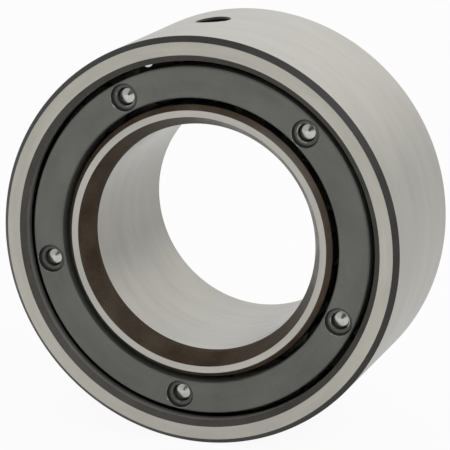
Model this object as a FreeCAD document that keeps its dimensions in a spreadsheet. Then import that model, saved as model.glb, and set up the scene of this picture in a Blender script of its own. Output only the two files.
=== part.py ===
"""Wide cylindrical roller bearing with a ribbed outer ring and a riveted two-piece cage.

The bearing stands on its rim: its axis lies along Y, with the front at -Y and +Z up. The origin is
the middle of the outer ring, on the axis. Clock angles are counted in the XZ plane, from +X to +Z.
Lengths are in millimetres and angles in degrees.
"""

import FreeCAD, Part
import math
import operator
import os

import Sketcher

DRIVING_SIZES = {
    # rings
    "outside_diameter": 160.0,
    "outer_ring_wall": 7.5,
    "outer_ring_width": 73.0,
    "inner_ring_wall": 8.46,
    "inner_ring_width": 79.4,
    "inner_ring_setback": 1.4,
    "outer_edge_bevel_radial": 2.1,
    "outer_edge_bevel_axial": 2.3,
    "rib_height": 2.0,
    "rib_width": 11.4,
    "rib_bevel_radial": 2.35,
    "rib_bevel_axial": 1.7,
    "corner_relief_width": 1.2,
    "corner_relief_depth": 0.5,
    "inner_edge_bevel_radial": 1.9,
    "inner_edge_bevel_axial": 2.3,
    "bore_lead_radial": 3.95,
    "bore_lead_axial": 7.6,
    "bore_exit_radial": 0.5,
    "bore_exit_axial": 0.5,
    "oil_hole_diameter": 13.0,
    "oil_hole_rim_bevel": 0.4,
    "oil_hole_setback": 41.5,
    "oil_hole_clock": 95.3,
    # rollers
    "rollers_per_rivet": 3.0,
    "roller_diameter_step": 1.0,
    "roller_corner_bevel": 1.0,
    "roller_race_clearance": 0.02,
    "roller_rib_clearance": 0.1,
    # cage
    "cage_setback": 2.8,
    "cage_rib_gap": 2.4,
    "cage_race_gap": 2.6,
    "cage_edge_bevel": 0.5,
    "pocket_side_clearance": 0.2,
    "pocket_end_clearance": 0.2,
    "least_bar_thickness": 6.5,
    # rivets
    "rivet_count": 5.0,
    "first_rivet_clock": 46.8,
    "rivet_shank_diameter": 4.0,
    "rivet_hole_clearance": 0.05,
    "rivet_head_diameter": 6.2,
    "rivet_head_thickness": 1.8,
    "rivet_head_crown": 0.8,
    "rivet_head_drop": 3.6,
    "head_well_clearance": 0.45,
    "counterbore_diameter": 10.8,
    "counterbore_depth": 2.0,
}

AXIS_DIRECTION = FreeCAD.Vector(0, 1, 0)
OPERATIONS = {
    "+": operator.add,
    "-": operator.sub,
    "*": operator.mul,
    "/": operator.truediv,
}


class Size:
    """A size as its value now and as the sheet expression that gives it."""

    def __init__(self, value, text):
        self.value = value
        self.text = text

    def joined(self, sign, other):
        if not isinstance(other, Size):
            other = Size(other, repr(other))
        value = OPERATIONS[sign](self.value, other.value)
        return Size(value, f"({self.text} {sign} {other.text})")

    def __add__(self, other):
        return self.joined("+", other)

    def __sub__(self, other):
        return self.joined("-", other)

    def __mul__(self, other):
        return self.joined("*", other)

    def __truediv__(self, other):
        return self.joined("/", other)

    def __neg__(self):
        return Size(-self.value, f"(0 - {self.text})")

    def floor(self):
        return Size(math.floor(self.value), f"floor({self.text})")

    def sine(self):
        """The sine of an angle in degrees."""
        return Size(math.sin(math.radians(self.value)), f"sin({self.text} * 1 deg)")

    def cosine(self):
        """The cosine of an angle in degrees."""
        return Size(math.cos(math.radians(self.value)), f"cos({self.text} * 1 deg)")


ZERO = Size(0.0, "0")
HALF_TURN = Size(180.0, "180")


def make_sheet(doc):
    """The sheet of driving sizes: names in column A, numbers with aliases in column B."""
    sheet = doc.addObject("Spreadsheet::Sheet", "sizes")
    for row, (name, value) in enumerate(DRIVING_SIZES.items(), start=1):
        sheet.set(f"A{row}", name)
        sheet.set(f"B{row}", str(value))
        sheet.setAlias(f"B{row}", name)
    doc.recompute()
    return sheet


def size(name):
    return Size(DRIVING_SIZES[name], f"sizes.{name}")


class Layout:
    """The radii and the places along the axis that more than one piece shares.

    They are worked out from the outside diameter inwards: the outer ring's wall, the rollers and
    the inner ring's wall, which leave the bore.
    """

    def __init__(self):
        self.seat_radius = size("outside_diameter") / 2
        self.outer_race_radius = self.seat_radius - size("outer_ring_wall")
        self.rib_bore_radius = self.outer_race_radius - size("rib_height")
        self.outer_half_width = size("outer_ring_width") / 2
        self.race_half_width = self.outer_half_width - size("rib_width")

        self.roller_count = size("rivet_count") * size("rollers_per_rivet")
        self.half_roller_step = HALF_TURN / self.roller_count
        self.roller_radius = self.largest_roller_radius()
        self.roller_half_length = self.race_half_width - size("roller_rib_clearance")
        reach = self.roller_radius + size("roller_race_clearance")
        self.pitch_radius = self.outer_race_radius - reach

        self.inner_race_radius = self.pitch_radius - reach
        self.bore_radius = self.inner_race_radius - size("inner_ring_wall")
        self.inner_front = size("inner_ring_setback") - self.outer_half_width
        self.inner_back = self.inner_front + size("inner_ring_width")

        self.cage_inner_radius = self.inner_race_radius + size("cage_race_gap")
        self.cage_outer_radius = self.rib_bore_radius - size("cage_rib_gap")
        self.cage_face = self.outer_half_width - size("cage_setback")
        self.pocket_half_length = self.roller_half_length + size("pocket_end_clearance")
        self.pocket_radius = self.roller_radius + size("pocket_side_clearance")

        self.rivet_circle_radius = (self.cage_inner_radius + self.cage_outer_radius) / 2
        self.rivet_head_top = self.cage_face - size("rivet_head_drop")
        self.rivet_head_seat = self.rivet_head_top - size("rivet_head_thickness")

    def largest_roller_radius(self):
        """The radius of the largest stock roller that leaves the least bar between two pockets.

        On the pitch circle, half a step spans a roller's radius, the pocket's clearance and half
        a bar. The pitch circle itself lies a roller's radius inside the outer raceway.
        """
        race = self.outer_race_radius - size("roller_race_clearance")
        half_bar = size("least_bar_thickness") / 2 + size("pocket_side_clearance")
        sine = self.half_roller_step.sine()
        most = (race * sine - half_bar) / (sine + 1)
        stock_radius_step = size("roller_diameter_step") / 2
        return (most / stock_radius_step).floor() * stock_radius_step


def new_body(doc, name):
    body = doc.addObject("PartDesign::Body", name)
    body.Label = name
    return body


def origin_part(body, role):
    return next(item for item in body.Origin.OriginFeatures if item.Role == role)


def new_sketch(body, name, plane):
    sketch = body.newObject("Sketcher::SketchObject", name)
    sketch.AttachmentSupport = [(origin_part(body, plane), "")]
    sketch.MapMode = "FlatFace"
    return sketch


def bind(thing, prop, bound_size):
    thing.setExpression(prop, bound_size.text)


def pin_coordinate(sketch, kind, edge, end, offset, label):
    """Fixes one end of an edge at a bound DistanceX or DistanceY from the sketch's origin."""
    place = sketch.addConstraint(Sketcher.Constraint(kind, -1, 1, edge, end, offset.value))
    name = f"{kind}_{label}"
    sketch.renameConstraint(place, name)
    bind(sketch, f"Constraints.{name}", offset)


def pin_point(sketch, edge, end, across, along, label):
    pin_coordinate(sketch, "DistanceX", edge, end, across, label)
    pin_coordinate(sketch, "DistanceY", edge, end, along, label)


def draw_outline(sketch, points):
    """A closed outline of straight edges through points, each a pair of sizes."""
    vectors = [FreeCAD.Vector(across.value, along.value, 0) for across, along in points]
    edges = [
        sketch.addGeometry(Part.LineSegment(start, end), False)
        for start, end in zip(vectors, vectors[1:] + vectors[:1])
    ]
    for edge, following in zip(edges, edges[1:] + edges[:1]):
        sketch.addConstraint(Sketcher.Constraint("Coincident", edge, 2, following, 1))
    for edge, (across, along) in zip(edges, points):
        pin_point(sketch, edge, 1, across, along, f"corner_{edge}")


def revolve(body, sketch, name, kind="PartDesign::Revolution", axis=None):
    """Turns a section about an edge of its own, or about the bearing's axis."""
    feature = body.newObject(kind, name)
    feature.Profile = sketch
    feature.ReferenceAxis = axis or (origin_part(body, "Y_Axis"), [""])
    feature.Angle = 360
    sketch.Visibility = False
    return feature


def repeat_around_axis(body, feature, name, count):
    pattern = body.newObject("PartDesign::PolarPattern", name)
    pattern.Originals = [feature]
    pattern.Axis = (origin_part(body, "Y_Axis"), [""])
    pattern.Angle = 360
    pattern.Occurrences = round(count.value)
    bind(pattern, "Occurrences", count)
    body.Tip = pattern
    return pattern


def turn_to_clock(body, clock):
    """Turns a body about the bearing's axis, so that its +X comes to a clock angle."""
    body.Placement = FreeCAD.Placement(
        FreeCAD.Vector(), FreeCAD.Rotation(-AXIS_DIRECTION, clock.value)
    )
    bind(body, "Placement.Rotation.Angle", clock)


def move_to_clock(body, radius, clock):
    """Moves a body, whose own axis is its Y axis, out to a radius and a clock angle."""
    across = radius * clock.cosine()
    up = radius * clock.sine()
    body.Placement.Base = FreeCAD.Vector(across.value, 0, up.value)
    bind(body, "Placement.Base.x", across)
    bind(body, "Placement.Base.z", up)


def make_outer_ring(doc, at):
    """One ring with a rib on each side of the raceway, and an oil hole through its seat."""
    body = new_body(doc, "outer_ring")
    face_outer = at.seat_radius - size("outer_edge_bevel_radial")
    face_inner = at.rib_bore_radius + size("rib_bevel_radial")
    seat_end = at.outer_half_width - size("outer_edge_bevel_axial")
    rib_end = at.outer_half_width - size("rib_bevel_axial")
    relief_radius = at.outer_race_radius + size("corner_relief_depth")
    relief_end = at.race_half_width - size("corner_relief_width")
    race_end = relief_end - size("corner_relief_depth")
    back_half = [
        (at.seat_radius, seat_end),
        (face_outer, at.outer_half_width),
        (face_inner, at.outer_half_width),
        (at.rib_bore_radius, rib_end),
        (at.rib_bore_radius, at.race_half_width),
        (relief_radius, at.race_half_width),
        (relief_radius, relief_end),
        (at.outer_race_radius, race_end),
    ]
    section = new_sketch(body, "outer_ring_section", "XY_Plane")
    draw_outline(section, back_half + mirrored(back_half))
    revolve(body, section, "outer_ring_turning")

    hole_radius = size("oil_hole_diameter") / 2
    wall_middle = (at.outer_race_radius + at.seat_radius) / 2
    beyond_seat = at.seat_radius + size("oil_hole_rim_bevel")
    middle = size("oil_hole_setback") - at.outer_half_width
    hole = new_sketch(body, "oil_hole_section", "XY_Plane")
    outline = [
        (at.pitch_radius, middle),
        (at.pitch_radius, middle + hole_radius),
        (wall_middle, middle + hole_radius),
        (at.seat_radius - size("oil_hole_rim_bevel") * 2, middle + hole_radius),
        (beyond_seat, middle + hole_radius + size("oil_hole_rim_bevel") * 3),
        (beyond_seat, middle),
    ]
    draw_outline(hole, outline)
    closing_edge = f"Edge{len(outline)}"
    revolve(body, hole, "oil_hole", "PartDesign::Groove", (hole, [closing_edge]))
    turn_to_clock(body, size("oil_hole_clock"))
    return body


def mirrored(half):
    """The front half of an outline whose back half is given, in the order that closes it."""
    return [(across, -along) for across, along in reversed(half)]


def make_inner_ring(doc, at):
    """A plain ring with a long lead-in bevel at the front of its bore."""
    body = new_body(doc, "inner_ring")
    face_outer = at.inner_race_radius - size("inner_edge_bevel_radial")
    section = new_sketch(body, "inner_ring_section", "XY_Plane")
    draw_outline(section, [
        (at.bore_radius + size("bore_lead_radial"), at.inner_front),
        (face_outer, at.inner_front),
        (at.inner_race_radius, at.inner_front + size("inner_edge_bevel_axial")),
        (at.inner_race_radius, at.inner_back - size("inner_edge_bevel_axial")),
        (face_outer, at.inner_back),
        (at.bore_radius + size("bore_exit_radial"), at.inner_back),
        (at.bore_radius, at.inner_back - size("bore_exit_axial")),
        (at.bore_radius, at.inner_front + size("bore_lead_axial")),
    ])
    revolve(body, section, "inner_ring_turning")
    return body


def cut_rivet_holes(body, at, front):
    """Stepped holes for the rivets: a counterbore, a well for the head and a through hole.

    The outline is drawn from the cage's middle to its back face, or to its front face if front.
    """
    counterbore_radius = size("counterbore_diameter") / 2
    counterbore_floor = at.cage_face - size("counterbore_depth")
    well_radius = size("rivet_head_diameter") / 2 + size("head_well_clearance")
    hole_radius = size("rivet_shank_diameter") / 2 + size("rivet_hole_clearance")
    beyond_face = at.cage_face + size("counterbore_depth")
    start = -at.pocket_half_length * 2
    if front:
        start = ZERO
    steps = [
        (ZERO, start),
        (hole_radius, start),
        (hole_radius, at.rivet_head_seat),
        (well_radius, at.rivet_head_seat),
        (well_radius, counterbore_floor),
        (counterbore_radius, counterbore_floor),
        (counterbore_radius, beyond_face),
        (ZERO, beyond_face),
    ]
    if front:
        steps = [(across, -along) for across, along in steps]
    section = new_sketch(body, f"{body.Name}_rivet_hole_section", "XY_Plane")
    circle = at.rivet_circle_radius
    draw_outline(section, [(circle + across, along) for across, along in steps])
    hole = body.newObject("PartDesign::Groove", f"{body.Name}_rivet_hole")
    hole.Profile = section
    section_axis_edge = len(steps) - 1
    hole.ReferenceAxis = (section, [f"Edge{section_axis_edge + 1}"])
    hole.Angle = 360
    section.Visibility = False
    repeat_around_axis(body, hole, f"{body.Name}_rivet_holes", size("rivet_count"))


def make_cage_body(doc, at):
    """The comb of the cage: a ring at the back, and the bars that part the rollers."""
    body = new_body(doc, "cage_body")
    bevel = size("cage_edge_bevel")
    section = new_sketch(body, "cage_body_section", "XY_Plane")
    draw_outline(section, [
        (at.cage_inner_radius, -at.pocket_half_length),
        (at.cage_outer_radius, -at.pocket_half_length),
        (at.cage_outer_radius, at.cage_face - bevel),
        (at.cage_outer_radius - bevel, at.cage_face),
        (at.cage_inner_radius + bevel, at.cage_face),
        (at.cage_inner_radius, at.cage_face - bevel),
    ])
    revolve(body, section, "cage_body_turning")

    pocket = body.newObject("PartDesign::Pocket", "roller_pocket")
    pocket.Profile = make_pocket_sketch(body, at)
    pocket.Type = "Length"
    pocket.Length = 2 * at.pocket_half_length.value
    bind(pocket, "Length", at.pocket_half_length * 2)
    repeat_around_axis(body, pocket, "roller_pockets", at.roller_count)

    cut_rivet_holes(body, at, front=False)
    turn_to_clock(body, size("first_rivet_clock"))
    return body


def make_pocket_sketch(body, at):
    """A pocket's outline: a half circle under the roller and straight flanks outside it.

    It lies on the open end of the comb, half a step round from the first rivet. The half circle
    keeps the roller from falling inwards, and the raceway keeps it from moving outwards.
    """
    sketch = new_sketch(body, "roller_pocket_outline", "XZ_Plane")
    sketch.AttachmentOffset = FreeCAD.Placement(
        FreeCAD.Vector(0, 0, at.pocket_half_length.value),
        FreeCAD.Rotation(FreeCAD.Vector(0, 0, 1), at.half_roller_step.value),
    )
    bind(sketch, "AttachmentOffset.Base.z", at.pocket_half_length)
    bind(sketch, "AttachmentOffset.Rotation.Angle", at.half_roller_step)
    centre = FreeCAD.Vector(at.pitch_radius.value, 0, 0)
    radius = at.pocket_radius.value
    outer = at.seat_radius.value
    upper = [FreeCAD.Vector(centre.x, radius, 0), FreeCAD.Vector(outer, radius, 0)]
    lower = [FreeCAD.Vector(outer, -radius, 0), FreeCAD.Vector(centre.x, -radius, 0)]
    circle = Part.Circle(centre, FreeCAD.Vector(0, 0, 1), radius)
    arc = sketch.addGeometry(Part.ArcOfCircle(circle, math.pi / 2, 3 * math.pi / 2), False)
    top = sketch.addGeometry(Part.LineSegment(upper[0], upper[1]), False)
    side = sketch.addGeometry(Part.LineSegment(upper[1], lower[0]), False)
    bottom = sketch.addGeometry(Part.LineSegment(lower[0], lower[1]), False)
    for first, first_end, second, second_end in (
        (arc, 1, top, 1), (top, 2, side, 1), (side, 2, bottom, 1), (bottom, 2, arc, 2),
    ):
        sketch.addConstraint(
            Sketcher.Constraint("Coincident", first, first_end, second, second_end)
        )
    pin_point(sketch, arc, 3, at.pitch_radius, ZERO, "centre")
    pin_point(sketch, arc, 1, at.pitch_radius, at.pocket_radius, "flank")
    pin_coordinate(sketch, "DistanceX", arc, 2, at.pitch_radius, "other_flank")
    pin_point(sketch, side, 1, at.seat_radius, at.pocket_radius, "mouth")
    pin_point(sketch, side, 2, at.seat_radius, -at.pocket_radius, "other_mouth")
    return sketch


def make_cage_side_ring(doc, at):
    """The flat ring that closes the comb at the front."""
    body = new_body(doc, "cage_side_ring")
    bevel = size("cage_edge_bevel")
    section = new_sketch(body, "cage_side_ring_section", "XY_Plane")
    draw_outline(section, [
        (at.cage_inner_radius, -at.pocket_half_length),
        (at.cage_outer_radius, -at.pocket_half_length),
        (at.cage_outer_radius, bevel - at.cage_face),
        (at.cage_outer_radius - bevel, -at.cage_face),
        (at.cage_inner_radius + bevel, -at.cage_face),
        (at.cage_inner_radius, bevel - at.cage_face),
    ])
    revolve(body, section, "cage_side_ring_turning")
    cut_rivet_holes(body, at, front=True)
    turn_to_clock(body, size("first_rivet_clock"))
    return body


def make_rivet(doc, at, number):
    """A rivet with a low cone on the head at each end."""
    body = new_body(doc, f"rivet_{number + 1}")
    head_radius = size("rivet_head_diameter") / 2
    back_half = [
        (size("rivet_shank_diameter") / 2, at.rivet_head_seat),
        (head_radius, at.rivet_head_seat),
        (head_radius, at.rivet_head_top),
        (ZERO, at.rivet_head_top + size("rivet_head_crown")),
    ]
    section = new_sketch(body, f"{body.Name}_section", "XY_Plane")
    draw_outline(section, back_half + mirrored(back_half))
    revolve(body, section, f"{body.Name}_turning")
    clock = size("first_rivet_clock") + Size(360.0, "360") / size("rivet_count") * number
    move_to_clock(body, at.rivet_circle_radius, clock)
    return body


def make_roller(doc, at, number):
    """A solid roller with bevelled corners. The first one is half a step past the first rivet."""
    body = new_body(doc, f"roller_{number + 1:02d}")
    end_radius = at.roller_radius - size("roller_corner_bevel")
    back_half = [
        (at.roller_radius, at.roller_half_length - size("roller_corner_bevel")),
        (end_radius, at.roller_half_length),
        (ZERO, at.roller_half_length),
    ]
    section = new_sketch(body, f"{body.Name}_section", "XY_Plane")
    draw_outline(section, back_half + mirrored(back_half))
    revolve(body, section, f"{body.Name}_turning")
    clock = size("first_rivet_clock") + at.half_roller_step * (2 * number + 1)
    move_to_clock(body, at.pitch_radius, clock)
    return body


def check_document(doc, bodies):
    """Stops if anything failed, if a cut removed nothing or if a piece isn't one whole solid."""
    for item in doc.Objects:
        faults = {"Invalid", "Error"} & set(item.State)
        if faults:
            raise RuntimeError(f"{item.Name} is {faults}")
        if item.TypeId in ("PartDesign::Pocket", "PartDesign::Groove"):
            if item.Shape.Volume >= item.BaseFeature.Shape.Volume:
                raise RuntimeError(f"{item.Name} cuts nothing")
    for body in bodies:
        shape = body.Shape
        if shape.isNull() or not shape.isValid() or len(shape.Solids) != 1:
            raise RuntimeError(f"{body.Label} isn't one valid solid")


def main():
    doc = FreeCAD.newDocument("cylindrical_roller_bearing")
    make_sheet(doc)
    at = Layout()
    bodies = [
        make_outer_ring(doc, at),
        make_inner_ring(doc, at),
        make_cage_body(doc, at),
        make_cage_side_ring(doc, at),
    ]
    bodies += [make_rivet(doc, at, number) for number in range(round(size("rivet_count").value))]
    bodies += [make_roller(doc, at, number) for number in range(round(at.roller_count.value))]
    doc.recompute()
    check_document(doc, bodies)
    os.makedirs("parts", exist_ok=True)
    for body in bodies:
        body.Shape.exportStep(f"parts/{body.Label}.step")
        print(body.Label, round(body.Shape.Volume, 1), "mm3")


main()
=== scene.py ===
"""The looks of a wide cylindrical roller bearing, in metres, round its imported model.

The bearing stands on its rim with its axis along Y and its front towards -Y. Clock angles are
counted in the XZ plane, from +X to +Z. Turned pieces are lathed from their sections, with the
finish of every edge of a section, and holes and pockets are cut out of them.
"""

import math

import bpy
import numpy as np
from mathutils import Matrix, Vector


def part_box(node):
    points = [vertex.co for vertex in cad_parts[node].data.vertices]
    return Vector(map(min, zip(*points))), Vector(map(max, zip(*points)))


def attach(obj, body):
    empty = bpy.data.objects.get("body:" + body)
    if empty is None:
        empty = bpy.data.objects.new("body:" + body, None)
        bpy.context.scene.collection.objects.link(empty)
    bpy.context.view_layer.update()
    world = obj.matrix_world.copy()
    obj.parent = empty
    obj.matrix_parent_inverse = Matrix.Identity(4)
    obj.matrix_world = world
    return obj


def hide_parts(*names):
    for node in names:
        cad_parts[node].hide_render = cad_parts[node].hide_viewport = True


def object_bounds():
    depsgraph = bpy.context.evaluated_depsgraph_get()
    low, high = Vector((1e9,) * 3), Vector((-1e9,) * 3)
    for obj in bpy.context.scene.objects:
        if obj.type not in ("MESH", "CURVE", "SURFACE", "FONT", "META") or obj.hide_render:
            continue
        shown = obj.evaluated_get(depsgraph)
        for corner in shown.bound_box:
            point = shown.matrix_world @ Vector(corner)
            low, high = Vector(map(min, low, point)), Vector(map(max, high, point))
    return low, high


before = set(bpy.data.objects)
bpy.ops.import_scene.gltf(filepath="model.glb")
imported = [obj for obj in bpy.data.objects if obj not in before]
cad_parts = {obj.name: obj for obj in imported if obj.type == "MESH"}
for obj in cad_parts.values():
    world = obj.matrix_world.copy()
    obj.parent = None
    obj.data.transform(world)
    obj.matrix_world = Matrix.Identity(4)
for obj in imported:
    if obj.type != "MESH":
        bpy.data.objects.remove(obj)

cad_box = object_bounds()

MM = 0.001
FULL_TURN = 2 * math.pi


# sizes read from the frame

def radial_middle(node):
    """The middle of a node's box, as a radius from the bearing's axis and a clock angle."""
    low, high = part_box(node)
    across = (low.x + high.x) / 2
    up = (low.z + high.z) / 2
    return math.hypot(across, up), math.atan2(up, across)


def half_height(node):
    low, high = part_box(node)
    return (high.z - low.z) / 2


OUTER_LOW, OUTER_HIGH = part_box("outer_ring")
INNER_LOW, INNER_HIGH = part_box("inner_ring")
SIDE_LOW, SIDE_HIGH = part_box("cage_side_ring")
RIVET_NAMES = sorted(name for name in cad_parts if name.startswith("rivet_"))
ROLLER_NAMES = sorted(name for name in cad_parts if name.startswith("roller_"))

SEAT_RADIUS = min(-OUTER_LOW.x, OUTER_HIGH.x, -OUTER_LOW.z, OUTER_HIGH.z)
OUTER_HALF_WIDTH = OUTER_HIGH.y
INNER_FRONT = INNER_LOW.y
INNER_BACK = INNER_HIGH.y
INNER_RACE_RADIUS = min(INNER_HIGH.x, INNER_HIGH.z)
PITCH_RADIUS = radial_middle(ROLLER_NAMES[0])[0]
ROLLER_RADIUS = half_height(ROLLER_NAMES[0])
ROLLER_HALF_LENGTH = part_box(ROLLER_NAMES[0])[1].y
RIVET_HEAD_RADIUS = half_height(RIVET_NAMES[0])
RIVET_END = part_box(RIVET_NAMES[0])[1].y
CAGE_OUTER_RADIUS = min(SIDE_HIGH.x, SIDE_HIGH.z)
CAGE_FACE = -SIDE_LOW.y
POCKET_HALF_LENGTH = -SIDE_HIGH.y

# sizes of the rings that the boxes don't show; a bevel is (across the radius, along the axis)
BORE_RADIUS = 45.0 * MM
RACE_CLEARANCE = 0.02 * MM
OUTER_RACE_RADIUS = PITCH_RADIUS + ROLLER_RADIUS + RACE_CLEARANCE
RIB_HEIGHT = 2.0 * MM
RIB_CLEARANCE = 0.1 * MM
RIB_BORE_RADIUS = OUTER_RACE_RADIUS - RIB_HEIGHT
RACE_HALF_WIDTH = ROLLER_HALF_LENGTH + RIB_CLEARANCE
OUTER_EDGE_BEVEL = (2.1 * MM, 2.3 * MM)
RIB_BEVEL = (2.35 * MM, 1.7 * MM)
INNER_EDGE_BEVEL = (1.9 * MM, 2.3 * MM)
BORE_LEAD = (3.95 * MM, 7.6 * MM)
BORE_EXIT = (0.5 * MM, 0.5 * MM)
LEAD_SCALE_END = 2.9 * MM
# how far into the rib bore the painted lit grey goes before the painted shade starts
RIB_MOUTH_DEPTH = 4.4 * MM
CORNER_RELIEF = (0.5 * MM, 1.2 * MM)
OIL_HOLE_RADIUS = 6.5 * MM
OIL_HOLE_RIM = 0.8 * MM
OIL_HOLE_CLOCK = math.radians(95.3)
OIL_HOLE_SETBACK = 41.5 * MM

# sizes of the cage
CAGE_RACE_GAP = 2.6 * MM
CAGE_INNER_RADIUS = INNER_RACE_RADIUS + CAGE_RACE_GAP
CAGE_EDGE_BEVEL = 0.5 * MM
CAGE_JOINT_BEVEL = 0.05 * MM
POCKET_SIDE_CLEARANCE = 0.2 * MM
POCKET_OVERCUT = 1.0 * MM
COUNTERBORE_RADIUS = 5.4 * MM
COUNTERBORE_DEPTH = 2.0 * MM
COUNTERBORE_BEVEL = 0.2 * MM
# width of the painted shade ring at the foot of the counterbore's floor
COUNTERBORE_PAINTED_SHADE = 0.6 * MM
HEAD_WELL_CLEARANCE = 0.45 * MM
HEAD_WELL_WEAR = 0.4 * MM

# sizes of the rivets and rollers; the painted glint spot is (across, up, radius) on the roller's end
RIVET_SHANK_RADIUS = 2.0 * MM
RIVET_HOLE_CLEARANCE = 0.05 * MM
RIVET_HOLE_OVERCUT = 2.0 * MM
RIVET_HEAD_CROWN = 0.8 * MM
RIVET_HEAD_THICKNESS = 1.8 * MM
RIVET_TIP_SHARE = 0.25
RIVET_TIP_SLOPE = 0.1
HEAD_SEAT = RIVET_END - RIVET_HEAD_CROWN - RIVET_HEAD_THICKNESS
# how far the painted shade reaches along the roller's side from each end
ROLLER_PAINTED_SHADE_END = 3.0 * MM
ROLLER_RECESS_DEPTH = 0.25 * MM
ROLLER_RECESS_RIM_SHARE = 0.55
ROLLER_RECESS_FLOOR_SHARE = 0.50
GLINT_ROLLER = "roller_03"
GLINT_SPOT = (-5.2 * MM, 6.95 * MM, 2.3 * MM)

# roundings of corners
RING_ROUNDING = 0.35 * MM
BEVEL_ROUNDING = 0.3 * MM
FINE_ROUNDING = 0.2 * MM
LEAD_END_ROUNDING = 0.8 * MM
OIL_HOLE_ROUNDING = 0.4 * MM
COUNTERBORE_RIM_ROUNDING = 0.15 * MM
COUNTERBORE_FOOT_ROUNDING = 0.3 * MM
HEAD_WELL_ROUNDING = 0.25 * MM
RIVET_ROUNDING = 0.1 * MM
RIVET_RIM_ROUNDING = 0.08 * MM
RIVET_TIP_ROUNDING = 2.0 * MM
ROLLER_ROUNDING = 1.0 * MM

# steps round a ring, a roller, a small part and a pocket's half circle, and of a rounded corner
RING_STEPS = 360
ROLLER_STEPS = 96
SMALL_STEPS = 72
POCKET_STEPS = 32
ARC_STEP = math.radians(20)

# limits: how much of an edge a rounding takes, and when places and normals count as the same
LONGEST_ROUNDING_SHARE = 0.45
STRAIGHT = 1e-6
TINY = 1e-9
ON_SURFACE = 0.02 * MM
LIKE_NORMAL = math.cos(math.radians(25))

# the finishes of each kind of piece, in the order of its material slots
OUTER_FINISHES = [
    "ground_seat", "ground_face", "scale", "edge_scale", "painted_shade_scale", "rib_mouth", "honed_race",
]
INNER_FINISHES = ["inner_face", "brown_scale", "honed_race", "ground_bore", "bore_scale"]
CAGE_FINISHES = ["cage", "cage_edge", "cage_step_painted_shade", "cage_recess_painted_shade", "cage_painted_shade", "cage_rim"]
RIVET_FINISHES = ["rivet"]
ROLLER_FINISHES = ["roller", "roller_end"]


# sections

class Section:
    """A closed section of a turned piece: points (radius, along), their normals and the finishes.

    A corner is (radius, along, rounding). The finish of an edge goes with the corner before it,
    and None is an edge on the axis, where there is no surface. The solid lies left of the path.
    """

    def __init__(self, corners, finishes):
        self.points = []
        self.normals = []
        self.finishes = []
        places = [np.array((radius, along)) for radius, along, _ in corners]
        roundings = [rounding for _, _, rounding in corners]
        for index, rounding in enumerate(roundings):
            following = (index + 1) % len(places)
            self.add_corner(
                places[index - 1], places[index], places[following],
                rounding, finishes[index - 1], finishes[index],
            )
        self.points = np.array(self.points)
        self.normals = np.array(self.normals)

    def add_corner(self, before, here, after, rounding, finish_in, finish_out):
        """One point on the axis or in a straight run, and a rounded corner anywhere else."""
        length_in = np.linalg.norm(here - before)
        length_out = np.linalg.norm(after - here)
        way_in = (here - before) / length_in
        way_out = (after - here) / length_out
        normal_in = right_of(way_in)
        if finish_out is None:
            self.add_point(here, normal_in, finish_out)
            return
        if finish_in is None:
            self.add_point(here, right_of(way_out), finish_out)
            return
        turn = turn_between(way_in, way_out)
        if abs(turn) < STRAIGHT:
            self.add_point(here, normal_in, finish_out)
            return
        reach_per_radius = math.tan(abs(turn) / 2)
        longest_reach = LONGEST_ROUNDING_SHARE * min(length_in, length_out)
        reach = min(rounding * reach_per_radius, longest_reach)
        start = here - way_in * reach
        self.add_arc(start, normal_in, turn, reach / reach_per_radius, finish_in, finish_out)

    def add_arc(self, start, normal, turn, radius, finish_in, finish_out):
        """A rounded corner, half in the finish of the edge before it and half in that of the next."""
        steps = 2 * max(1, math.ceil(abs(turn) / ARC_STEP / 2))
        centre = start - normal * math.copysign(radius, turn)
        for step in range(steps + 1):
            rotation = rotation_by(turn * step / steps)
            finish = finish_in if step < steps / 2 else finish_out
            self.add_point(centre + rotation @ (start - centre), rotation @ normal, finish)

    def add_point(self, place, normal, finish):
        self.points.append(place)
        self.normals.append(normal)
        self.finishes.append(finish)


def right_of(way):
    return np.array((way[1], -way[0]))


def turn_between(way_in, way_out):
    """The angle from one way to the next, positive to the left."""
    cross = way_in[0] * way_out[1] - way_in[1] * way_out[0]
    return math.atan2(cross, float(way_in @ way_out))


def rotation_by(angle):
    cosine = math.cos(angle)
    sine = math.sin(angle)
    return np.array(((cosine, -sine), (sine, cosine)))


def mirrored_section(half, half_finishes, outside_finish, inside_finish):
    """A section that is alike front and back, from its back half, which starts outside."""
    front = [(radius, -along, rounding) for radius, along, rounding in reversed(half)]
    finishes = half_finishes + [inside_finish] + half_finishes[::-1] + [outside_finish]
    return Section(half + front, finishes)


# meshes

def turned_mesh(name, section, steps, finishes):
    """The mesh of a section turned about the Y axis, with its exact normals."""
    rows, places, normals = turned_rows(section, steps)
    faces = []
    slots = []
    for index, finish in enumerate(section.finishes):
        if finish is not None:
            faces += band_faces(rows[index], rows[(index + 1) % len(rows)], steps)
            slots += [finishes.index(finish)] * steps
    mesh = new_mesh(name, places, faces, slots, finishes)
    mesh.normals_split_custom_set_from_vertices(normals)
    return mesh


def turned_rows(section, steps):
    """A row of indices for each point of a section, and the places and normals they stand for."""
    rows = []
    places = []
    normals = []
    for (radius, along), (normal_out, normal_along) in zip(section.points, section.normals):
        first = len(places)
        if radius < TINY:
            places.append((0.0, along, 0.0))
            normals.append((0.0, math.copysign(1.0, normal_along), 0.0))
        else:
            for step in range(steps):
                cosine = math.cos(FULL_TURN * step / steps)
                sine = math.sin(FULL_TURN * step / steps)
                places.append((radius * cosine, along, radius * sine))
                normals.append((normal_out * cosine, normal_along, normal_out * sine))
        rows.append(range(first, len(places)))
    return rows, places, normals


def band_faces(row, following, steps):
    """The faces between two rows of points, as triangles where a row is one point."""
    faces = []
    for step in range(steps):
        ahead = (step + 1) % steps
        corners = [
            row[step % len(row)], following[step % len(following)],
            following[ahead % len(following)], row[ahead % len(row)],
        ]
        faces.append(list(dict.fromkeys(corners)))
    return faces


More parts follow.
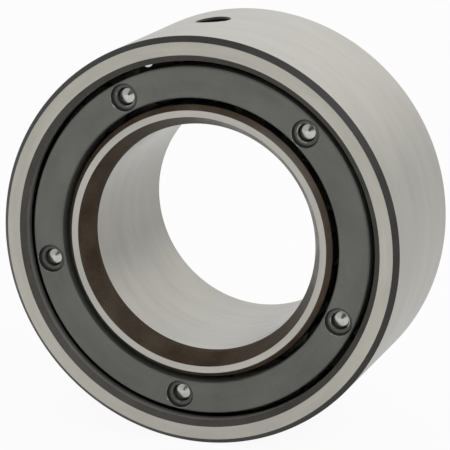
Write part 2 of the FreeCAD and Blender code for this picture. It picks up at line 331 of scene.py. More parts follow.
def new_mesh(name, places, faces, slots, finishes):
    mesh = bpy.data.meshes.new(name)
    mesh.from_pydata(places, [], faces)
    for finish in finishes:
        mesh.materials.append(MATERIALS[finish])
    mesh.polygons.foreach_set("material_index", slots)
    mesh.polygons.foreach_set("use_smooth", [True] * len(faces))
    mesh.update()
    return mesh


def prism_mesh(name, outline, low, high, finish, finishes):
    """A prism along Y. The outline is a list of (across, up) places."""
    count = len(outline)
    places = [(across, along, up) for along in (low, high) for across, up in outline]
    faces = [list(range(count)), list(range(2 * count - 1, count - 1, -1))]
    for step in range(count):
        ahead = (step + 1) % count
        faces.append([step, step + count, ahead + count, ahead])
    return new_mesh(name, places, faces, [finishes.index(finish)] * len(faces), finishes)


def new_object(name, data, matrix=None):
    made = bpy.data.objects.new(name, data)
    bpy.context.scene.collection.objects.link(made)
    if matrix is not None:
        made.matrix_world = matrix
    return made


def to_clock(radius, clock):
    """The matrix that moves a thing on the Y axis out to a radius and a clock angle."""
    return Matrix.Translation((radius * math.cos(clock), 0, radius * math.sin(clock)))


def joined(pieces):
    """One object with the meshes of all the pieces, each at its place."""
    for piece in pieces:
        piece.data.transform(piece.matrix_world)
        piece.matrix_world = Matrix.Identity(4)
    whole = pieces[0]
    if len(pieces) > 1:
        with bpy.context.temp_override(
            active_object=whole, object=whole, selected_objects=pieces,
            selected_editable_objects=pieces,
        ):
            bpy.ops.object.join()
    return whole


def carve(piece, cutters):
    """Cuts the cutters, which don't touch each other, out of a piece."""
    whole = joined(cutters)
    cut = piece.modifiers.new("cut", "BOOLEAN")
    cut.operation = "DIFFERENCE"
    cut.solver = "EXACT"
    cut.material_mode = "INDEX"
    cut.object = whole
    bpy.context.view_layer.update()
    evaluated = piece.evaluated_get(bpy.context.evaluated_depsgraph_get())
    mesh = bpy.data.meshes.new_from_object(evaluated)
    mesh.name = piece.data.name
    piece.modifiers.clear()
    piece.data = mesh
    bpy.data.objects.remove(whole)


def set_exact_normals(mesh, surfaces):
    """Gives each corner of a cut mesh the normal of the turned surface that it lies on.

    A surface is (section, matrix, sense), where sense is -1 for a cutter. What lies on none of
    them, such as a flat flank, keeps the normal of its face.
    """
    mesh.polygons.foreach_set("use_smooth", [True] * len(mesh.polygons))
    corner_vertex = read_all(mesh.loops, "vertex_index", int)
    places = read_all(mesh.vertices, "co", float, 3)
    face_normals = read_all(mesh.polygons, "normal", float, 3)
    flat = np.repeat(face_normals, read_all(mesh.polygons, "loop_total", int), axis=0)
    best = flat.copy()
    likeness = np.full(len(flat), LIKE_NORMAL)
    for section, matrix, sense in surfaces:
        distance, normals = nearest_normals(section, matrix, places)
        normals = sense * normals[corner_vertex]
        match = np.einsum("ij,ij->i", normals, flat)
        better = (distance[corner_vertex] < ON_SURFACE) & (match > likeness)
        best[better] = normals[better]
        likeness[better] = match[better]
    mesh.normals_split_custom_set(best.tolist())


def read_all(elements, attribute, kind, width=1):
    """An attribute of all elements of a mesh, with a row for each element if it is a vector."""
    values = np.empty(len(elements) * width, kind)
    elements.foreach_get(attribute, values)
    return values if width == 1 else values.reshape(-1, width)


def nearest_normals(section, matrix, places):
    """For each place, how far it lies from a turned surface and the surface's normal there."""
    inverse = np.array(matrix.inverted())
    local = places @ inverse[:3, :3].T + inverse[:3, 3]
    radius = np.hypot(local[:, 0], local[:, 2])
    distance, flat_normals = nearest_on_section(section, np.stack((radius, local[:, 1]), axis=1))
    spread = np.maximum(radius, TINY)
    normals = np.stack((
        flat_normals[:, 0] * local[:, 0] / spread,
        flat_normals[:, 1],
        flat_normals[:, 0] * local[:, 2] / spread,
    ), axis=1)
    normals = normals @ np.array(matrix.to_3x3()).T
    return distance, normals / np.linalg.norm(normals, axis=1)[:, None].clip(TINY)


def nearest_on_section(section, flat_places):
    """For each place (radius, along), how far it lies from a section and the normal there."""
    distance = np.full(len(flat_places), 1.0)
    flat_normals = np.zeros((len(flat_places), 2))
    count = len(section.points)
    for index, finish in enumerate(section.finishes):
        if finish is None:
            continue
        following = (index + 1) % count
        start = section.points[index]
        way = section.points[following] - start
        share = np.clip((flat_places - start) @ way / max(way @ way, TINY ** 2), 0, 1)[:, None]
        gap = np.linalg.norm(flat_places - (start + share * way), axis=1)
        normal_start = section.normals[index]
        normal_change = section.normals[following] - normal_start
        nearer = gap < distance
        distance[nearer] = gap[nearer]
        flat_normals[nearer] = (normal_start + share * normal_change)[nearer]
    return distance, flat_normals


# materials

# the sockets of a mix node for the share and the two colours, and for the mixed colour
MIX_INPUTS = (0, 6, 7)
MIX_OUTPUT = 2

# where most of a single noise lies, most of a blend of noises, and the edge of worn spots
NOISE_SPAN = (0.35, 0.65)
BLEND_SPAN = (0.38, 0.62)
WORN_SPAN = (0.5, 0.58)

# the oxide, its painted glint spot, and the phosphate coat
OXIDE_LINE_PITCH = 0.3 * MM
OXIDE_BUMP = 0.006 * MM
GLINT_STEEL = (0.72, 0.71, 0.70)
GLINT_POLISH = 0.3
GLINT_EDGE_SHARE = 0.9
COAT_LINE_PITCH = 0.5 * MM
COAT_BUMP = 0.008 * MM
COAT_ROUGHNESS = (0.42, 0.56)
COAT_GLOSS = 0.4


class Graph:
    """Adds nodes to the tree of a material or of the world, and links them."""

    def __init__(self, owner):
        owner.use_nodes = True
        self.owner = owner
        self.tree = owner.node_tree
        self.tree.nodes.clear()

    def node(self, kind, inputs=(), **settings):
        made = self.tree.nodes.new(kind)
        for name, value in settings.items():
            setattr(made, name, value)
        for socket, value in dict(inputs).items():
            self.feed(made.inputs[socket], value)
        return made

    def feed(self, socket, value):
        if isinstance(value, bpy.types.NodeSocket):
            self.tree.links.new(value, socket)
        else:
            socket.default_value = value

    def math(self, operation, first, second=0.0, third=0.0):
        made = self.node("ShaderNodeMath", operation=operation)
        for socket, value in zip(made.inputs, (first, second, third)):
            self.feed(socket, value)
        return made.outputs[0]

    def blend(self, *parts):
        """The sum of values, each given with its share."""
        total = 0.0
        for value, share in parts:
            total = self.math("MULTIPLY_ADD", value, share, total)
        return total

    def ranged(self, value, span, new_span=(0.0, 1.0), smooth=False):
        """A value moved from one span to another, and kept inside it."""
        inputs = {
            "Value": value,
            "From Min": span[0],
            "From Max": span[1],
            "To Min": new_span[0],
            "To Max": new_span[1],
        }
        kind = "SMOOTHSTEP" if smooth else "LINEAR"
        return self.node("ShaderNodeMapRange", inputs, interpolation_type=kind).outputs[0]

    def vector(self, across, along, up):
        return self.node("ShaderNodeCombineXYZ", {"X": across, "Y": along, "Z": up}).outputs[0]

    def noise(self, vector, scale, detail, roughness=0.5):
        inputs = {"Vector": vector, "Scale": scale, "Detail": detail, "Roughness": roughness}
        return self.node("ShaderNodeTexNoise", inputs).outputs["Fac"]

    def mixed(self, share, first, second):
        made = self.node("ShaderNodeMix", data_type="RGBA")
        for socket, value in zip(MIX_INPUTS, (share, first, second)):
            self.feed(made.inputs[socket], value)
        return made.outputs[MIX_OUTPUT]

    def tinted(self, tone, span, dark, light):
        """Dark below a span of tones, light above it, and mixed inside it."""
        return self.mixed(self.ranged(tone, span), opaque(dark), opaque(light))

    def bump(self, height, distance):
        inputs = {"Height": height, "Distance": distance, "Strength": 1.0}
        return self.node("ShaderNodeBump", inputs).outputs[0]

    def finish(self, shader, output="ShaderNodeOutputMaterial"):
        self.node(output, {"Surface": shader.outputs[0]})
        return self.owner


def new_material(name):
    return Graph(bpy.data.materials.new(name))


def opaque(colour):
    return (*colour, 1.0)


def turned_lines(graph, pitch):
    """Fine lines and broad bands round the Y axis, from noises drawn out along the turn.

    They are counted by the radius and the way along the axis, for flat faces and cylinders alike.
    """
    along_share = 0.9
    slow_scale = 30.0
    band_scale = 170.0
    place = graph.node("ShaderNodeTexCoord").outputs["Object"]
    across, along, up = graph.node("ShaderNodeSeparateXYZ", {"Vector": place}).outputs
    squares = graph.math("ADD", graph.math("MULTIPLY", across, across), graph.math("MULTIPLY", up, up))
    path = graph.math("MULTIPLY_ADD", along, along_share, graph.math("SQRT", squares))
    slow_across = graph.math("MULTIPLY", across, slow_scale)
    slow_up = graph.math("MULTIPLY", up, slow_scale)
    line_path = graph.math("DIVIDE", path, pitch)
    band_path = graph.math("MULTIPLY", path, band_scale)
    fine = graph.noise(graph.vector(line_path, slow_across, slow_up), scale=1.0, detail=2.0)
    broad = graph.noise(graph.vector(band_path, slow_across, slow_up), scale=1.0, detail=3.0)
    return place, fine, broad


def steel(name, dark, light, roughness, pitch, depth, anisotropy=0.4, blotch_scale=35.0):
    """Cut or ground steel: lines round the axis, faint bands and a little unevenness."""
    graph = new_material(name)
    place, fine, broad = turned_lines(graph, pitch)
    blotch = graph.noise(place, blotch_scale, detail=3.0)
    tone = graph.blend((broad, 0.35), (fine, 0.3), (blotch, 0.35))
    tangent = graph.node("ShaderNodeTangent", direction_type="RADIAL", axis="Y")
    shader = graph.node("ShaderNodeBsdfPrincipled", {
        "Base Color": graph.tinted(tone, NOISE_SPAN, dark, light),
        "Metallic": 1.0,
        "Roughness": graph.ranged(graph.blend((fine, 0.5), (blotch, 0.5)), NOISE_SPAN, roughness),
        "Anisotropic": anisotropy,
        "Tangent": tangent.outputs[0],
        "Normal": graph.bump(fine, depth),
    })
    return graph.finish(shader)


def oxide_and_painted_shade(name, dark, light, roughness, gloss, glint_spot=None):
    """Oxide left by hardening on turned surfaces that aren't ground afterwards.

    The painted glint spot, if any, is (across, up, radius) in the piece's own XZ plane.
    """
    # near-black colours make this painted shade, as deep in the rib bore and on the roller ends
    graph = new_material(name)
    place, fine, broad = turned_lines(graph, OXIDE_LINE_PITCH)
    patches = graph.noise(place, scale=90.0, detail=5.0, roughness=0.6)
    flecks = graph.noise(place, scale=1400.0, detail=3.0, roughness=0.6)
    tone = graph.blend((patches, 0.45), (flecks, 0.35), (broad, 0.2))
    colour = graph.tinted(tone, BLEND_SPAN, dark, light)
    rough = graph.ranged(patches, NOISE_SPAN, roughness)
    metallic = 0.0
    if glint_spot:
        metallic = glint_spot_share(graph, place, *glint_spot)
        colour = graph.mixed(metallic, colour, opaque(GLINT_STEEL))
        rough = graph.math("SUBTRACT", rough, graph.math("MULTIPLY", metallic, GLINT_POLISH))
    shader = graph.node("ShaderNodeBsdfPrincipled", {
        "Base Color": colour,
        "Metallic": metallic,
        "Roughness": rough,
        "Specular IOR Level": gloss,
        "Normal": graph.bump(graph.blend((fine, 1.0), (flecks, 0.5)), OXIDE_BUMP),
    })
    return graph.finish(shader)


def glint_spot_share(graph, place, across, up, radius):
    """1 inside a round spot of the XZ plane, and 0 outside it."""
    flat_place = graph.node("ShaderNodeVectorMath", {0: place, 1: (1, 0, 1)}, operation="MULTIPLY")
    gap = graph.node(
        "ShaderNodeVectorMath", {0: flat_place.outputs[0], 1: (across, 0, up)}, operation="DISTANCE"
    )
    return graph.ranged(gap.outputs["Value"], (GLINT_EDGE_SHARE * radius, radius), (1.0, 0.0))


def phosphate(name, dark, light, worn=None, worn_scale=500.0):
    """The matt grey-green coating of the cage, with a fine crystal grain and, if given, worn steel."""
    # darker and lighter copies of this coat are painted shade and painted lit grey
    graph = new_material(name)
    place, fine, broad = turned_lines(graph, COAT_LINE_PITCH)
    grain = graph.noise(place, scale=2600.0, detail=3.0, roughness=0.65)
    clouds = graph.noise(place, scale=60.0, detail=4.0, roughness=0.55)
    tone = graph.blend((clouds, 0.4), (grain, 0.35), (broad, 0.25))
    colour = graph.tinted(tone, BLEND_SPAN, dark, light)
    metallic = 0.0
    if worn:
        wear = graph.noise(place, worn_scale, detail=3.0, roughness=0.6)
        metallic = graph.ranged(wear, WORN_SPAN)
        colour = graph.mixed(metallic, colour, opaque(worn))
    shader = graph.node("ShaderNodeBsdfPrincipled", {
        "Base Color": colour,
        "Metallic": metallic,
        "Roughness": graph.ranged(clouds, NOISE_SPAN, COAT_ROUGHNESS),
        "Specular IOR Level": COAT_GLOSS,
        "Normal": graph.bump(graph.blend((grain, 1.0), (fine, 0.6)), COAT_BUMP),
    })
    return graph.finish(shader)


CAGE_COAT = {"dark": (0.119, 0.122, 0.108), "light": (0.174, 0.179, 0.161)}
# the cage's coat painted darker as shade, for the floors of the counterbores
STEP_COAT_PAINTED_SHADE = {"dark": (0.093, 0.095, 0.084), "light": (0.143, 0.147, 0.132)}
# near-black roller ends, painted shade for the dark gaps between the rings and the cage
ROLLER_END_PAINTED_SHADE = {
    "dark": (0.008, 0.008, 0.007), "light": (0.016, 0.015, 0.013), "roughness": (0.35, 0.5),
    "gloss": 0.12,
}

MATERIALS = {
    # the same ground steel in copies of different brightness: painted lighter on the faces, darker on
    # the seat and darker still in the bore, as light and shade
    "ground_seat": steel(
        "ground_seat_steel", dark=(0.335, 0.323, 0.287), light=(0.42, 0.406, 0.361),
        roughness=(0.27, 0.36), pitch=0.10 * MM, depth=0.0012 * MM,
    ),
    "ground_face": steel(
        "ground_face_steel", dark=(0.46, 0.446, 0.395), light=(0.62, 0.60, 0.54),
        roughness=(0.32, 0.42), pitch=0.12 * MM, depth=0.0015 * MM,
    ),
    "inner_face": steel(
        "ground_inner_face_steel", dark=(0.47, 0.46, 0.414), light=(0.615, 0.598, 0.549),
        roughness=(0.32, 0.42), pitch=0.12 * MM, depth=0.0015 * MM,
    ),
    "ground_bore": steel(
        "ground_bore_steel", dark=(0.265, 0.258, 0.230), light=(0.335, 0.325, 0.290),
        roughness=(0.20, 0.28), pitch=0.10 * MM, depth=0.0012 * MM,
    ),
    "honed_race": steel(
        "honed_race_steel", dark=(0.42, 0.41, 0.39), light=(0.47, 0.46, 0.44),
        roughness=(0.20, 0.28), pitch=0.06 * MM, depth=0.0006 * MM,
    ),
    "scale": oxide_and_painted_shade(
        "hardening_scale", dark=(0.036, 0.035, 0.029), light=(0.075, 0.071, 0.062),
        roughness=(0.4, 0.55), gloss=0.35,
    ),
    "edge_scale": oxide_and_painted_shade(
        "dark_edge_scale", dark=(0.012, 0.0115, 0.010), light=(0.030, 0.028, 0.025),
        roughness=(0.4, 0.55), gloss=0.4,
    ),
    # near-black scale painted as shade: deep in the rib bore, in the corner reliefs and in the oil
    # hole
    "painted_shade_scale": oxide_and_painted_shade(
        "painted_shade_black_scale", dark=(0.006, 0.006, 0.005), light=(0.014, 0.013, 0.011),
        roughness=(0.4, 0.55), gloss=0.15,
    ),
    "brown_scale": oxide_and_painted_shade(
        "brown_hardening_scale", dark=(0.034, 0.022, 0.012), light=(0.079, 0.056, 0.036),
        roughness=(0.3, 0.42), gloss=0.45,
    ),
    "bore_scale": oxide_and_painted_shade(
        "brown_bore_scale", dark=(0.037, 0.024, 0.015), light=(0.090, 0.067, 0.047),
        roughness=(0.5, 0.65), gloss=0.02,
    ),
    # the mouth of the rib bore, painted lighter grey as lit; deeper in, the bore is painted shade
    "rib_mouth": phosphate(
        "rib_mouth_painted_lit_grey", dark=(0.155, 0.155, 0.143), light=(0.215, 0.215, 0.20),
    ),
    "cage": phosphate("cage_phosphate", **CAGE_COAT),
    "cage_edge": phosphate("cage_worn_edge", **CAGE_COAT, worn=(0.42, 0.41, 0.38)),
    # the counterbore floor in the coat painted darker as shade, and its rim by the head well with worn
    # steel as well
    "cage_step_painted_shade": phosphate("cage_step_painted_shade_phosphate", **STEP_COAT_PAINTED_SHADE),
    "cage_rim": phosphate("cage_worn_rim", **STEP_COAT_PAINTED_SHADE, worn=(0.50, 0.49, 0.46), worn_scale=150.0),
    # dark coat painted as shade, in the rivets' head wells and holes
    "cage_recess_painted_shade": phosphate(
        "cage_recess_painted_shade_phosphate", dark=(0.036, 0.037, 0.032), light=(0.066, 0.067, 0.060),
    ),
    # near-black coat painted as shade, on the counterbore's wall and the foot of its floor
    "cage_painted_shade": phosphate(
        "cage_painted_shade_phosphate", dark=(0.012, 0.012, 0.010), light=(0.026, 0.026, 0.023),
    ),
    "rivet": steel(
        "turned_rivet_steel", dark=(0.50, 0.49, 0.47), light=(0.70, 0.69, 0.66),
        roughness=(0.12, 0.22), pitch=0.08 * MM, depth=0.002 * MM, anisotropy=0.2,
        blotch_scale=900.0,
    ),
    "roller": steel(
        "lapped_roller_steel", dark=(0.42, 0.42, 0.405), light=(0.48, 0.48, 0.465),
        roughness=(0.36, 0.42), pitch=0.05 * MM, depth=0.0001 * MM,
    ),
    # the roller's ends, painted near-black as shade
    "roller_end": oxide_and_painted_shade("roller_end_painted_shade", **ROLLER_END_PAINTED_SHADE),
    # the roller end with a painted glint: a bright bare-steel spot on the painted shade
    "roller_end_painted_glint": oxide_and_painted_shade("roller_end_painted_glint", **ROLLER_END_PAINTED_SHADE, glint_spot=GLINT_SPOT),
}


# pieces

def place_piece(piece, body, node):
    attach(piece, body)
    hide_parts(node)


def outer_ring_section():
    """The outer ring: ribs beside the raceway, ground relief in its corners, bevels in scale."""
    seat_end = OUTER_HALF_WIDTH - OUTER_EDGE_BEVEL[1]
    rib_end = OUTER_HALF_WIDTH - RIB_BEVEL[1]
    relief_radius = OUTER_RACE_RADIUS + CORNER_RELIEF[0]
    relief_end = RACE_HALF_WIDTH - CORNER_RELIEF[1]
    half = [
        (SEAT_RADIUS, seat_end, RING_ROUNDING),
        (SEAT_RADIUS - OUTER_EDGE_BEVEL[0], OUTER_HALF_WIDTH, RING_ROUNDING),
        (RIB_BORE_RADIUS + RIB_BEVEL[0], OUTER_HALF_WIDTH, BEVEL_ROUNDING),
        (RIB_BORE_RADIUS, rib_end, BEVEL_ROUNDING),
        (RIB_BORE_RADIUS, rib_end - RIB_MOUTH_DEPTH, 0.0),
        (RIB_BORE_RADIUS, RACE_HALF_WIDTH, FINE_ROUNDING),
        (relief_radius, RACE_HALF_WIDTH, FINE_ROUNDING),
        (relief_radius, relief_end, FINE_ROUNDING),
        (OUTER_RACE_RADIUS, relief_end - CORNER_RELIEF[0], FINE_ROUNDING),
    ]
    # the rib bore is painted lit grey at its mouth; deeper in, it and the corner reliefs are painted
    # shade
    finishes = [
        "edge_scale", "ground_face", "scale", "rib_mouth", "painted_shade_scale", "painted_shade_scale", "painted_shade_scale",
        "painted_shade_scale",
    ]
    return mirrored_section(half, finishes, "ground_seat", "honed_race")


def oil_hole():
    """The section that cuts the oil hole, in its own frame along Y, and the matrix to its place."""
    rim_top = SEAT_RADIUS + OIL_HOLE_RIM
    section = Section(
        [
            (0.0, PITCH_RADIUS, 0.0),
            (OIL_HOLE_RADIUS, PITCH_RADIUS, 0.0),
            (OIL_HOLE_RADIUS, SEAT_RADIUS - OIL_HOLE_RIM, OIL_HOLE_ROUNDING),
            (OIL_HOLE_RADIUS + 2 * OIL_HOLE_RIM, rim_top, 0.0),
            (0.0, rim_top, 0.0),
        ],
        # the hole's wall is painted near-black shade; its rim is dark scale
        ["painted_shade_scale", "painted_shade_scale", "edge_scale", "edge_scale", None],
    )
    outward = Vector((math.cos(OIL_HOLE_CLOCK), 0, math.sin(OIL_HOLE_CLOCK)))
    along = Vector((0, 1, 0))
    turn = Matrix((along, outward, along.cross(outward))).transposed().to_4x4()
    place = Matrix.Translation(along * (OIL_HOLE_SETBACK - OUTER_HALF_WIDTH))
    return section, place @ turn


def make_outer_ring():
    section = outer_ring_section()
    mesh = turned_mesh("outer_ring_steel", section, RING_STEPS, OUTER_FINISHES)
    ring = new_object("outer_ring_steel", mesh)
    hole, matrix = oil_hole()
    hole_mesh = turned_mesh("oil_hole_cutter", hole, SMALL_STEPS, OUTER_FINISHES)
    carve(ring, [new_object("oil_hole_cutter", hole_mesh, matrix)])
    set_exact_normals(ring.data, [(section, Matrix.Identity(4), 1), (hole, matrix, -1)])
    place_piece(ring, "outer_ring_assembly", "outer_ring")


def inner_ring_section():
    """The inner ring: a plain raceway, and a long lead-in bevel at the front of the bore."""
    face_radius = INNER_RACE_RADIUS - INNER_EDGE_BEVEL[0]
    lead_end = INNER_FRONT + BORE_LEAD[1]
    return Section(
        [
            (BORE_RADIUS + BORE_LEAD[0], INNER_FRONT, BEVEL_ROUNDING),
            (face_radius, INNER_FRONT, RING_ROUNDING),
            (INNER_RACE_RADIUS, INNER_FRONT + INNER_EDGE_BEVEL[1], RING_ROUNDING),
            (INNER_RACE_RADIUS, INNER_BACK - INNER_EDGE_BEVEL[1], RING_ROUNDING),
            (face_radius, INNER_BACK, RING_ROUNDING),
            (BORE_RADIUS + BORE_EXIT[0], INNER_BACK, BEVEL_ROUNDING),
            (BORE_RADIUS, INNER_BACK - BORE_EXIT[1], FINE_ROUNDING),
            (BORE_RADIUS, lead_end + LEAD_SCALE_END, 0.0),
            (BORE_RADIUS, lead_end, LEAD_END_ROUNDING),
        ],
        [
            "inner_face", "brown_scale", "honed_race", "brown_scale",
            "inner_face", "brown_scale", "ground_bore", "bore_scale", "brown_scale",
        ],
    )


def make_inner_ring():
    mesh = turned_mesh("inner_ring_steel", inner_ring_section(), RING_STEPS, INNER_FINISHES)
    place_piece(new_object("inner_ring_steel", mesh), "inner_ring_body", "inner_ring")


def rivet_hole_section(sense):
    """The section that cuts a stepped rivet hole, at the front (-1) or the back (1) of the cage."""
    rim_top = CAGE_FACE + COUNTERBORE_BEVEL
    floor = CAGE_FACE - COUNTERBORE_DEPTH
    well_radius = RIVET_HEAD_RADIUS + HEAD_WELL_CLEARANCE
    hole_radius = RIVET_SHANK_RADIUS + RIVET_HOLE_CLEARANCE
    hole_end = POCKET_HALF_LENGTH - RIVET_HOLE_OVERCUT
    corners = [
        (0.0, rim_top, 0.0),
        (COUNTERBORE_RADIUS + 2 * COUNTERBORE_BEVEL, rim_top, 0.0),
        (COUNTERBORE_RADIUS, CAGE_FACE - COUNTERBORE_BEVEL, COUNTERBORE_RIM_ROUNDING),
        (COUNTERBORE_RADIUS, floor, COUNTERBORE_FOOT_ROUNDING),
        (COUNTERBORE_RADIUS - COUNTERBORE_PAINTED_SHADE, floor, 0.0),
        (well_radius + HEAD_WELL_WEAR, floor, 0.0),
        (well_radius, floor, HEAD_WELL_ROUNDING),
        (well_radius, HEAD_SEAT, FINE_ROUNDING),
        (hole_radius, HEAD_SEAT, RIVET_ROUNDING),
        (hole_radius, hole_end, 0.0),
        (0.0, hole_end, 0.0),
    ]
    # the counterbore's wall and foot are painted near-black shade, its floor is painted darker as
    # shade, and the head well and hole are painted dark shade
    finishes = [
        "cage", "cage_edge", "cage_painted_shade", "cage_painted_shade", "cage_step_painted_shade", "cage_rim", "cage_recess_painted_shade",
        "cage_recess_painted_shade", "cage_recess_painted_shade", "cage_recess_painted_shade", None,
    ]
    if sense < 0:
        return Section([(radius, -along, rounding) for radius, along, rounding in corners], finishes)
    # the solid has to stay left of the path, so at the back the same corners run the other way
    return Section(corners[::-1], finishes[-2::-1] + [None])


def rivet_holes(sense):
    """A cutter and its surface for each rivet, at the front (-1) or the back (1) of the cage."""
    section = rivet_hole_section(sense)
    mesh = turned_mesh("rivet_hole", section, SMALL_STEPS, CAGE_FINISHES)
    cutters = []
    surfaces = []
    for name in RIVET_NAMES:
        matrix = to_clock(*radial_middle(name))
        cutters.append(new_object(f"{name}_hole", mesh.copy(), matrix))
        surfaces.append((section, matrix, -1))
    return cutters, surfaces


def pocket_outline():
    """A roller's pocket: a half circle under the roller and straight flanks outside it."""
    radius = ROLLER_RADIUS + POCKET_SIDE_CLEARANCE
    outline = []
    for step in range(POCKET_STEPS + 1):
        angle = math.pi * (0.5 + step / POCKET_STEPS)
        outline.append((PITCH_RADIUS + radius * math.cos(angle), radius * math.sin(angle)))
    return outline + [(SEAT_RADIUS, -radius), (SEAT_RADIUS, radius)]


def roller_pockets():
    """A cutter for each roller's pocket, open towards the front."""
    mesh = prism_mesh(
        "roller_pocket", pocket_outline(), -POCKET_HALF_LENGTH - POCKET_OVERCUT, POCKET_HALF_LENGTH,
        "cage", CAGE_FINISHES,
    )
    cutters = []
    for name in ROLLER_NAMES:
        turn = Matrix.Rotation(-radial_middle(name)[1], 4, "Y")
        cutters.append(new_object(f"{name}_pocket", mesh.copy(), turn))
    return cutters


def cage_ring_section(low, high, bevel_low, bevel_high):
    """A ring of the cage's inner and outer radius, with a bevel of its own at each end."""
    corners = [
        (CAGE_INNER_RADIUS + bevel_low, low),
        (CAGE_OUTER_RADIUS - bevel_low, low),
        (CAGE_OUTER_RADIUS, low + bevel_low),
        (CAGE_OUTER_RADIUS, high - bevel_high),
        (CAGE_OUTER_RADIUS - bevel_high, high),
        (CAGE_INNER_RADIUS + bevel_high, high),
        (CAGE_INNER_RADIUS, high - bevel_high),
        (CAGE_INNER_RADIUS, low + bevel_low),
    ]
    rounded = [(radius, along, FINE_ROUNDING) for radius, along in corners]
    return Section(rounded, ["cage"] * len(rounded))


def make_cage_piece(node, section, cutters, hole_surfaces):
    """A coated piece of the cage: its ring, with the cutters cut out of it."""
    name = f"{node}_coated"
    piece = new_object(name, turned_mesh(name, section, RING_STEPS, CAGE_FINISHES))
    carve(piece, cutters)
    set_exact_normals(piece.data, [(section, Matrix.Identity(4), 1)] + hole_surfaces)
    place_piece(piece, "cage", node)


def make_cage_side_ring():
    section = cage_ring_section(-CAGE_FACE, -POCKET_HALF_LENGTH, CAGE_EDGE_BEVEL, CAGE_JOINT_BEVEL)
    make_cage_piece("cage_side_ring", section, *rivet_holes(-1))


def make_cage_body():
    section = cage_ring_section(-POCKET_HALF_LENGTH, CAGE_FACE, CAGE_JOINT_BEVEL, CAGE_EDGE_BEVEL)
    holes, surfaces = rivet_holes(1)
    make_cage_piece("cage_body", section, holes + roller_pockets(), surfaces)


def make_rivets():
    """Rivets with a low cone on each head, blunt at its tip."""
    rim = HEAD_SEAT + RIVET_HEAD_THICKNESS
    tip_radius = RIVET_TIP_SHARE * RIVET_HEAD_RADIUS
    tip_base = rim + (1 - RIVET_TIP_SHARE) * RIVET_HEAD_CROWN
    half = [
        (RIVET_SHANK_RADIUS, HEAD_SEAT, RIVET_ROUNDING),
        (RIVET_HEAD_RADIUS, HEAD_SEAT, RIVET_ROUNDING),
        (RIVET_HEAD_RADIUS, rim, RIVET_RIM_ROUNDING),
        (tip_radius, tip_base, RIVET_TIP_ROUNDING),
        (0.0, tip_base + RIVET_TIP_SLOPE * tip_radius, 0.0),
    ]
    section = mirrored_section(half, ["rivet"] * 4, "rivet", None)
    mesh = turned_mesh("rivet_turned", section, SMALL_STEPS, RIVET_FINISHES)
    for name in RIVET_NAMES:
        rivet = new_object(f"{name}_turned", mesh, to_clock(*radial_middle(name)))
        place_piece(rivet, "cage", name)


def roller_section():
    """A roller with rounded corners, a shallow recess in each end and painted shade on and near its
    ends.
    """
    recess = ROLLER_HALF_LENGTH - ROLLER_RECESS_DEPTH
    half = [
        (ROLLER_RADIUS, ROLLER_HALF_LENGTH - ROLLER_PAINTED_SHADE_END, 0.0),
        (ROLLER_RADIUS, ROLLER_HALF_LENGTH, ROLLER_ROUNDING),
        (ROLLER_RECESS_RIM_SHARE * ROLLER_RADIUS, ROLLER_HALF_LENGTH, FINE_ROUNDING),
        (ROLLER_RECESS_FLOOR_SHARE * ROLLER_RADIUS, recess, FINE_ROUNDING),
        (0.0, recess, 0.0),
    ]
    return mirrored_section(half, ["roller_end"] * 4, "roller", None)


def make_rollers():
    """Rollers that share a mesh, but for the one with a painted glint spot on its ends."""
    mesh = turned_mesh("roller_lapped", roller_section(), ROLLER_STEPS, ROLLER_FINISHES)
    glint_mesh = mesh.copy()
    glint_mesh.materials[ROLLER_FINISHES.index("roller_end")] = MATERIALS["roller_end_painted_glint"]
    for name in ROLLER_NAMES:
        its_mesh = glint_mesh if name == GLINT_ROLLER else mesh
        roller = new_object(f"{name}_lapped", its_mesh, to_clock(*radial_middle(name)))
        place_piece(roller, f"{name}_body", name)


# the studio

WHITE = (1.0, 1.0, 1.0)

FLOOR_REACH = 12.0
FLOOR_GREY = (0.7, 0.7, 0.7)
FLOOR_WHITE_SEEN = 0.93
FLOOR_WHITE_MIRRORED = 0.45

# the room's light by direction: the spans are of how far a direction points back and up
ROOM_LIGHT = 0.60
BACK_SPAN = (-0.2, 0.6)
UP_SPAN = (-0.05, 0.42)
BACK_WALL_LIGHT = (0.18, 0.67)
RIGHT_SIDE_GAIN = 0.10

# the dark opening in front: its direction, and the angles from it where the dark ends and is full
OPENING = Vector((0.25, -0.95, 0.15)).normalized()
OPENING_EDGE = math.radians(28)
OPENING_CORE = math.radians(18)

# how much of the camera's white a mirror sees
WORLD_WHITE_MIRRORED = 0.06

LAMP_PLACE = Vector((1.5, -1.2, 1.7))
LAMP_SIZE = 2.4
LAMP_WATTS = 22.0

# the lens and sensor are in millimetres; the place is from the middle of the front face
CAMERA_AZIMUTH = math.radians(19.17)
CAMERA_ELEVATION = math.radians(13.93)
CAMERA_DISTANCE = 979.1 * MM
CAMERA_RIGHT = 11.22 * MM
CAMERA_ABOVE = 7.27 * MM
CAMERA_LENS = 205.44
CAMERA_SENSOR = 36.0


def mirrored_ray(graph, path):
    """1 for a ray that comes from a mirror or through glass, and 0 for any other."""
    both = graph.math("ADD", path["Is Glossy Ray"], path["Is Transmission Ray"])
    return graph.math("MINIMUM", both, 1.0)


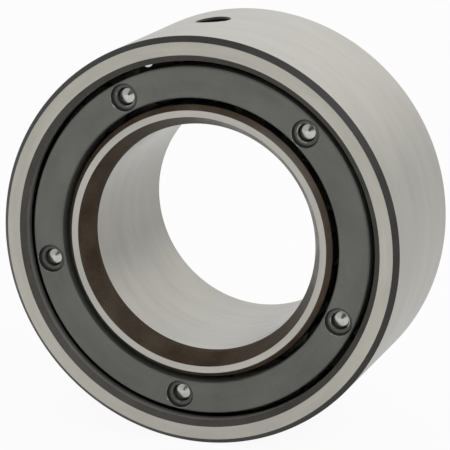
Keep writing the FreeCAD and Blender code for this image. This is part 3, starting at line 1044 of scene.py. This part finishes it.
def make_floor():
    """A pale floor that keeps the shadow and otherwise shows white to the camera."""
    graph = new_material("studio_floor")
    path = graph.node("ShaderNodeLightPath").outputs
    mirrored = graph.math("MULTIPLY", mirrored_ray(graph, path), FLOOR_WHITE_MIRRORED)
    seen = graph.math("MULTIPLY_ADD", path["Is Camera Ray"], FLOOR_WHITE_SEEN, mirrored)
    matt = graph.node("ShaderNodeBsdfDiffuse", {"Color": opaque(FLOOR_GREY)})
    white = graph.node("ShaderNodeEmission", {"Color": opaque(WHITE), "Strength": 1.0})
    mix = graph.node("ShaderNodeMixShader", {0: seen, 1: matt.outputs[0], 2: white.outputs[0]})
    height = cad_box[0].z
    signs = [(-1, -1), (1, -1), (1, 1), (-1, 1)]
    corners = [(FLOOR_REACH * across, FLOOR_REACH * along, height) for across, along in signs]
    mesh = bpy.data.meshes.new("studio_floor")
    mesh.from_pydata(corners, [], [(0, 1, 2, 3)])
    mesh.materials.append(graph.finish(mix))
    floor = new_object("studio_floor", mesh)


def make_world():
    """A pale room with a lit back wall and a dark opening in front.

    The camera sees white in its place, and mirrors see a small share of that white.
    """
    world = bpy.data.worlds.new("studio")
    bpy.context.scene.world = world
    graph = Graph(world)
    strength = room_light(graph)
    path = graph.node("ShaderNodeLightPath").outputs
    seen = graph.math(
        "MULTIPLY_ADD", mirrored_ray(graph, path), WORLD_WHITE_MIRRORED, path["Is Camera Ray"]
    )
    unseen = graph.math("SUBTRACT", 1.0, seen)
    strength = graph.math("MULTIPLY_ADD", strength, unseen, seen)
    background = graph.node("ShaderNodeBackground", {"Color": opaque(WHITE), "Strength": strength})
    graph.finish(background, "ShaderNodeOutputWorld")


def room_light(graph):
    """How bright the room is, by direction. The back wall adds light, most of it high up."""
    direction = graph.node("ShaderNodeTexCoord").outputs["Generated"]
    across, along, up = graph.node("ShaderNodeSeparateXYZ", {0: direction}).outputs
    behind = graph.ranged(along, BACK_SPAN, smooth=True)
    wall_light = graph.ranged(up, UP_SPAN, BACK_WALL_LIGHT, smooth=True)
    lit = graph.math("MULTIPLY_ADD", behind, wall_light, ROOM_LIGHT)
    side_gain = graph.math("MULTIPLY_ADD", across, RIGHT_SIDE_GAIN, 1.0)
    lit = graph.math("MULTIPLY", lit, side_gain)
    likeness = graph.node(
        "ShaderNodeVectorMath", {0: direction, 1: OPENING}, operation="DOT_PRODUCT"
    )
    opening_span = (math.cos(OPENING_EDGE), math.cos(OPENING_CORE))
    closed = graph.ranged(likeness.outputs["Value"], opening_span, (1.0, 0.0), smooth=True)
    return graph.math("MULTIPLY", lit, closed)


def aim(thing, direction):
    """Turns a lamp or a camera to look along a direction."""
    thing.rotation_mode = "QUATERNION"
    thing.rotation_quaternion = direction.to_track_quat("-Z", "Y")


def make_lamp():
    lamp = bpy.data.lights.new("key", "AREA")
    lamp.shape = "DISK"
    lamp.size = LAMP_SIZE
    lamp.energy = LAMP_WATTS
    shown = new_object("key", lamp)
    shown.location = LAMP_PLACE
    aim(shown, -LAMP_PLACE)


def make_camera():
    """The photograph's view: its angle, its distance and its lens."""
    back = Vector((
        math.sin(CAMERA_AZIMUTH) * math.cos(CAMERA_ELEVATION),
        -math.cos(CAMERA_AZIMUTH) * math.cos(CAMERA_ELEVATION),
        math.sin(CAMERA_ELEVATION),
    ))
    right = Vector((math.cos(CAMERA_AZIMUTH), math.sin(CAMERA_AZIMUTH), 0))
    above = back.cross(right)
    camera = bpy.data.cameras.new("camera")
    camera.sensor_width = CAMERA_SENSOR
    camera.lens = CAMERA_LENS
    shown = new_object("camera", camera)
    face_middle = Vector((0, OUTER_LOW.y, 0))
    shown.location = (
        face_middle + right * CAMERA_RIGHT + above * CAMERA_ABOVE + back * CAMERA_DISTANCE
    )
    aim(shown, -back)
    bpy.context.scene.camera = shown


make_camera()
make_outer_ring()
make_inner_ring()
make_cage_side_ring()
make_cage_body()
make_rivets()
make_rollers()
make_floor()
make_world()
make_lamp()
bpy.context.scene.view_settings.view_transform = "Standard"
